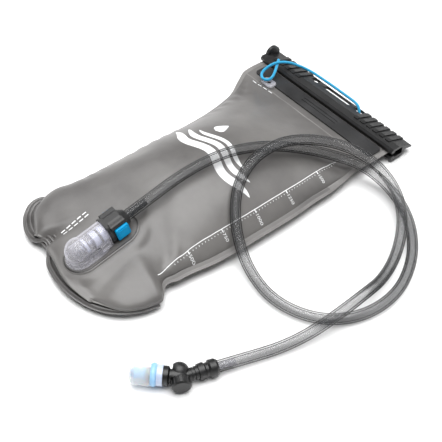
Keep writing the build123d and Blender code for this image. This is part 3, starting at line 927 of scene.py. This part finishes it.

# %% [markdown]
# ### Braided cord
# Eight-strand polyester braid, fuzzy and matt. The cord's UV map gives metres along it and turns round it,
# so two crossed sets of slanted bands make the strands, and their crests make the bump and a painted shade
# that darkens the colour between the strands. A flat image of a braid would stretch wherever the cord bends.

# %% Cord finish
STRAND = 1.1            # drawn a little coarser than real yarn, so that it shows
TURNS = 4               # strands round the cord in each direction
cord_blue, tree, shader = finish("braided_polyester_cord", IOR=1.5, Roughness=0.62, Sheen_Weight=0.25)
uv = add(tree, "ShaderNodeUVMap", {}, uv_map="along")
split = add(tree, "ShaderNodeSeparateXYZ", {"Vector": uv.outputs["UV"]})
along = add(tree, "ShaderNodeMath", {0: split.outputs["Y"], 1: 2 * math.pi / (STRAND * MM)},
            operation="MULTIPLY")
around = add(tree, "ShaderNodeMath", {0: split.outputs["X"], 1: TURNS * 2 * math.pi}, operation="MULTIPLY")
crests = []
for way in ("ADD", "SUBTRACT"):
    slant = add(tree, "ShaderNodeMath", {0: along.outputs[0], 1: around.outputs[0]}, operation=way)
    crests.append(add(tree, "ShaderNodeMath", {0: slant.outputs[0]}, operation="SINE").outputs[0])
crest = add(tree, "ShaderNodeMath", {0: crests[0], 1: crests[1]}, operation="MAXIMUM")
shade = add(tree, "ShaderNodeMapRange", {"Value": crest.outputs[0], "From Min": -0.4, "From Max": 1.0})
# Painted shade: the blue is darker down between the strands and lighter on their crests.
tint = add(tree, "ShaderNodeMix", {"Factor": shade.outputs["Result"]}, data_type="RGBA")
tint.inputs["A"].default_value = linear("#008CC0")
tint.inputs["B"].default_value = linear("#1FB4E6")
tree.links.new(tint.outputs["Result"], shader.inputs["Base Color"])
bump = add(tree, "ShaderNodeBump", {"Height": shade.outputs["Result"], "Strength": 0.8,
                                    "Distance": 0.25 * MM})
tree.links.new(bump.outputs["Normal"], shader.inputs["Normal"])
print(cord_blue.name, "with", TURNS, "strands each way round")

# %% [markdown]
# ## Giving every piece its finish
# New pieces get theirs by name. The nodes from the CAD model keep their shapes, and take the finish that
# their material slot stands for, except the coupler's barb, which is given the clear finish.

# %% Giving every piece its finish


def wear(piece, material):
    """All of a piece in one material, whether it has slots or not."""
    if not piece.material_slots:
        piece.data.materials.append(material)
    for place in piece.material_slots:
        place.link = "OBJECT"
        place.material = material


front.data.materials.append(film)
front.data.materials.append(weld)
for face in front.data.polygons:
    x, y = face.center.xy / MM
    half = station(np.array(y), 1 if x < BAG_X else 2)
    edge = half + (4.0 if x > BAG_X and y < 70 else 0)
    flange = y > -112.0 and abs(x - BAG_X) > edge
    across_the_top = 117.6 < y < 119.2
    face.material_index = int(flange or across_the_top)
patch.data.materials.append(patch_film)
patch.data.materials.append(pressed)
for face in patch.data.polygons:
    face.material_index = int(1.1 < -beside_patch(*face.center.xy / MM) < 2.2)
for piece, material in (
    (back, film), (rim, rib_film), (ink, ink_white), (hose, tpu), (lanyard, cord_blue), (spring, steel),
):
    wear(piece, material)
FINISH_OF = {
    "film": film, "film_weld": weld, "stiffener": stiff, "clear_plastic": clear, "black_plastic": black,
    "white_plastic": white, "pale_plastic": pale, "blue_plastic": blue, "blue_cord": cord_blue,
    "hose_tpu": tpu, "silicone": silicone, "pale_blue_silicone": ring_blue, "blue_silicone": core_blue,
    "black_rubber": rubber, "spring_steel": steel,
}
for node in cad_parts.values():
    for place in node.material_slots:
        kind = place.material.name.split(".")[0] if place.material else ""
        place.link = "OBJECT"
        place.material = FINISH_OF.get(kind, black)
wear(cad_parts["coupler_barb"], clear)
print(len(FINISH_OF), "finishes on", len(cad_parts), "nodes")

# %% [markdown]
# ## Floor and light
# A white sweep under one broad soft light from above and behind, like a whole lit ceiling, with two weak
# lights that put a gleam on the sides.

# %% Floor
# Background paper, pressed from short fibres: quite matt, so that only soft shadows show on it.
bpy.ops.mesh.primitive_plane_add(size=40)
floor = bpy.context.object
floor.name = "floor"
paper, tree, shader = finish("white_paper_sweep", Roughness=0.9)
mottle(tree, shader, "#F7F7F7", "#FAFAFA", 400.0, (0.85, 0.95), 30.0, 0.02)
wear(floor, paper)
print("floor", [round(size, 1) for size in floor.dimensions], "m")

# %% Lights


def lamp_at(name, kind, place, aim, energy):
    """A lamp of that kind that stands at a place in metres and shines at another."""
    lamp = bpy.data.lights.new(name, kind)
    lamp.energy = energy
    holder = bpy.data.objects.new(name, lamp)
    holder.location = place
    holder.rotation_euler = (Vector(place) - Vector(aim)).to_track_quat("Z", "Y").to_euler()
    bpy.context.scene.collection.objects.link(holder)
    return lamp


overhead = lamp_at("overhead", "SUN", (0.0, 0.15, 1.5), (0.05, 0.0, 0.0), 4.3)
overhead.angle = math.radians(60)     # as wide as a ceiling, for soft edges to the shadows
side = lamp_at("side", "AREA", (-0.9, 0.0, 0.8), (0.0, 0.0, 0.0), 3.0)
side.size = 0.6
behind = lamp_at("behind", "AREA", (0.5, 1.2, 1.0), (0.05, 0.0, 0.0), 2.5)
behind.size = 0.8
print([lamp.name for lamp in bpy.data.lights])

# %% [markdown]
# The studio's walls are pale near the ground and dim above it. A low view sees a pale wall behind the
# object, while the film and the hose mirror the dim part, which draws their outlines.

# %% Studio walls
world = bpy.data.worlds.new("studio")
bpy.context.scene.world = world
world.use_nodes = True
tree = world.node_tree
tree.nodes["Background"].inputs["Color"].default_value = linear("#FFFFFF")
place = add(tree, "ShaderNodeTexCoord", {})
split = add(tree, "ShaderNodeSeparateXYZ", {"Vector": place.outputs["Generated"]})
height = add(tree, "ShaderNodeMapRange", {"Value": split.outputs["Z"], "From Min": 0.22, "From Max": 0.45,
                                          "To Min": 0.7, "To Max": 0.05})
tree.links.new(height.outputs["Result"], tree.nodes["Background"].inputs["Strength"])
print("walls from", height.inputs["To Min"].default_value, "to", height.inputs["To Max"].default_value)
